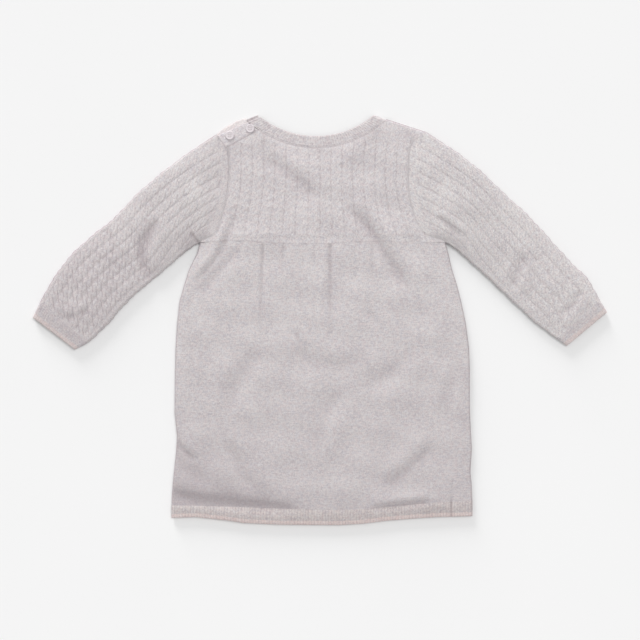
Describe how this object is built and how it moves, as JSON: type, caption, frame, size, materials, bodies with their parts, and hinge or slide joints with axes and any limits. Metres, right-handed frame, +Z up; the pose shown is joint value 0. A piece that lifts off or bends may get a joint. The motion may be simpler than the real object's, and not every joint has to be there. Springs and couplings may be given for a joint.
{
  "type": "baby's cable-knit sweater dress",
  "caption": "Baby's long-sleeved knitted dress laid flat with its back up: cable-knit yoke and sleeves, plain gathered skirt, ribbed neck, cuffs and hem, buttoned shoulder opening",
  "frame": {"origin": "middle of the bounding box of the dress as it lies, at the surface that it lies on", "axes": "+X to the right across the back as seen from above, the wearer's right; +Y from the hem to the neck; +Z up, out of the back"},
  "size_m": [0.5746, 0.41, 0.0081],
  "materials": {
    "cable_knit": "matt knitted melange of pale grey, pink and off-white, in raised cables",
    "jersey_knit": "matt knitted melange of pale grey, pink and off-white, plain jersey",
    "rib_knit": "matt one-by-one rib in the same melange, with pink edge rows",
    "button": "pearly pale lilac, sewn on with thread"
  },
  "bodies": {
    "root": {"back_yoke": "cable_knit", "front_yoke": "cable_knit", "sleeve_left": "cable_knit", "sleeve_right": "cable_knit", "back_skirt": "jersey_knit", "front_skirt": "jersey_knit", "hem_back": "rib_knit", "hem_front": "rib_knit", "cuff_left": "rib_knit", "cuff_right": "rib_knit", "neckband_back": "rib_knit", "neckband_front": "rib_knit", "shoulder_band_back": "rib_knit", "shoulder_stand_front": "rib_knit", "button_neck": "button", "button_armhole": "button"}
  },
  "joints": []
}
